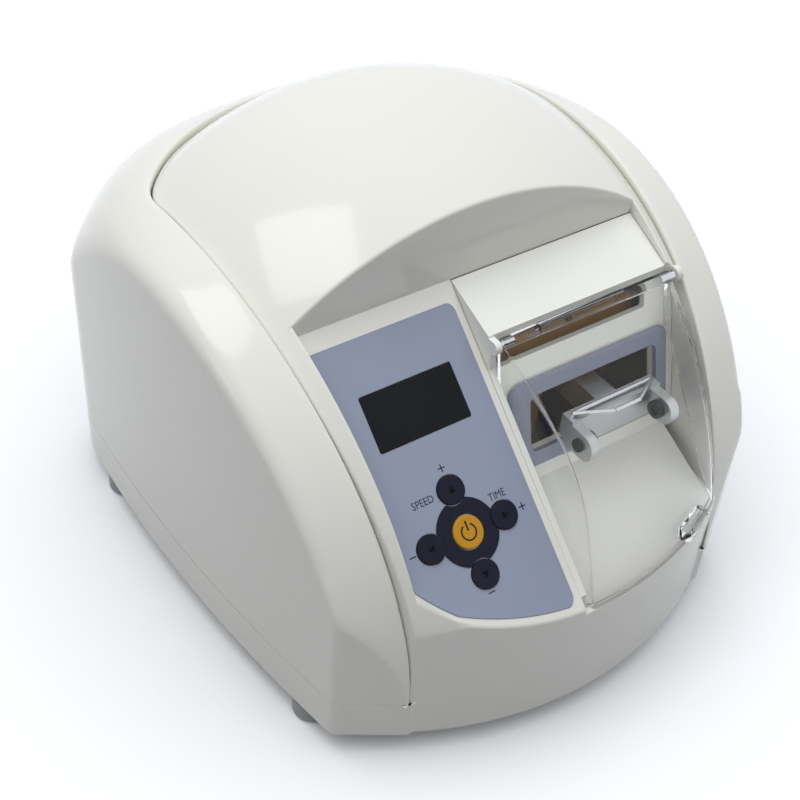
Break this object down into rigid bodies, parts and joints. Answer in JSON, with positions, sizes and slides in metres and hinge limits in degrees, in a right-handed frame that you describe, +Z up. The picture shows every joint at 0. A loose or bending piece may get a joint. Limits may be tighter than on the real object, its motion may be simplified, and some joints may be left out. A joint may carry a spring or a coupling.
{
  "type": "dental amalgamator",
  "caption": "Helmet-shaped bench mixer for capsules: sunken key panel and display on the left, clear hinged cover over a fork in the mixing chamber on the right.",
  "frame": {"origin": "on the table under the middle of the bounding box, level with the feet", "axes": "+X to the object's right as its user sees it, -Y to the front (keys), +Z up"},
  "size_m": [0.212, 0.238, 0.185],
  "materials": {
    "shell_white": "gloss",
    "liner_white": "gloss",
    "foot_grey": "matte",
    "black_rubber": "matte",
    "zinc_screw": "satin",
    "overlay_grey_blue": "satin",
    "display_black": "gloss",
    "key_navy": "satin",
    "key_amber": "gloss",
    "bezel_grey_blue": "satin",
    "clear_acrylic": "gloss",
    "board_green": "satin",
    "board_brown": "satin",
    "component_dark": "matte",
    "yellow_zinc": "satin",
    "polished_steel": "polished",
    "laminated_steel": "satin",
    "copper_winding": "satin",
    "cast_aluminium": "satin",
    "bearing_bronze": "satin",
    "white_nylon": "satin",
    "socket_black": "satin"
  },
  "bodies": {
    "housing": {"outer_shell": "shell_white", "front_shell": "shell_white", "bottom_tray": "shell_white", "rubber_feet": "foot_grey", "housing_screws": "zinc_screw", "transit_screws": "zinc_screw", "chamber_liner": "liner_white", "window_bezel": "bezel_grey_blue", "cover_hinge_pins": "polished_steel", "panel_overlay": "overlay_grey_blue", "key_disc": "key_navy", "display_window": "display_black", "display_module": "component_dark", "display_board": "board_green", "tact_switches": "component_dark", "display_pillars": "white_nylon", "motor_bracket": "yellow_zinc", "rubber_mounts": "black_rubber", "motor_stator": "laminated_steel", "motor_windings": "copper_winding", "motor_rear_cap": "cast_aluminium", "motor_front_cap": "cast_aluminium", "motor_bolts": "zinc_screw", "rear_bearing": "bearing_bronze", "front_bearing": "bearing_bronze", "outboard_bearing": "bearing_bronze", "restraint_spring": "polished_steel", "slot_board": "board_brown", "interlock_switch": "component_dark", "interlock_plunger": "component_dark", "driver_board": "board_brown", "transformer": "laminated_steel", "main_board": "board_green", "board_screws": "zinc_screw", "board_parts": "component_dark", "mains_inlet": "socket_black", "inlet_screws": "zinc_screw", "fuse_holder": "socket_black", "fuse_cap": "socket_black", "switch_frame": "socket_black"},
    "cover": {"clear_cover": "clear_acrylic"},
    "rotor": {"drive_shaft": "polished_steel", "rotor_core": "laminated_steel", "cooling_fan": "white_nylon", "skewed_bush": "polished_steel", "inner_race": "polished_steel"},
    "fork": {"capsule_fork": "cast_aluminium", "outer_race": "polished_steel", "capsule_cups": "black_rubber", "capsule_clip": "polished_steel"},
    "rocker_switch": {"rocker": "socket_black"},
    "speed_up_key_body": {"speed_up_key": "key_navy"},
    "speed_down_key_body": {"speed_down_key": "key_navy"},
    "time_up_key_body": {"time_up_key": "key_navy"},
    "time_down_key_body": {"time_down_key": "key_navy"},
    "power_key_body": {"power_key": "key_amber"}
  },
  "joints": [
    {"name": "cover_hinge", "type": "hinge", "parent": "housing", "child": "cover", "pos_m": [0.035, -0.0506, 0.1316], "axis": [-1, 0, 0], "range_deg": [0, 95]},
    {"name": "motor_spin", "type": "hinge", "parent": "housing", "child": "rotor", "pos_m": [0.038, -0.014, 0.092], "axis": [1, 0, 0], "continuous": true},
    {"name": "fork_swing", "type": "hinge", "parent": "housing", "child": "fork", "pos_m": [0.038, -0.014, 0.092], "axis": [0, 0, 1], "range_deg": [-7, 7], "stiffness_Nm_per_rad": 0.5},
    {"name": "rocker_tip", "type": "hinge", "parent": "housing", "child": "rocker_switch", "pos_m": [0.004, 0.113, 0.056], "axis": [0, 0, -1], "range_deg": [0, 16]},
    {"name": "speed_up_key_press", "type": "slide", "parent": "housing", "child": "speed_up_key_body", "axis": [0, 0.6672, -0.7449], "range_m": [0, 0.0006], "stiffness_N_per_m": 600},
    {"name": "speed_down_key_press", "type": "slide", "parent": "housing", "child": "speed_down_key_body", "axis": [0, 0.6672, -0.7449], "range_m": [0, 0.0006], "stiffness_N_per_m": 600},
    {"name": "time_up_key_press", "type": "slide", "parent": "housing", "child": "time_up_key_body", "axis": [0, 0.6672, -0.7449], "range_m": [0, 0.0006], "stiffness_N_per_m": 600},
    {"name": "time_down_key_press", "type": "slide", "parent": "housing", "child": "time_down_key_body", "axis": [0, 0.6672, -0.7449], "range_m": [0, 0.0006], "stiffness_N_per_m": 600},
    {"name": "power_key_press", "type": "slide", "parent": "housing", "child": "power_key_body", "axis": [0, 0.6672, -0.7449], "range_m": [0, 0.0006], "stiffness_N_per_m": 600}
  ]
}
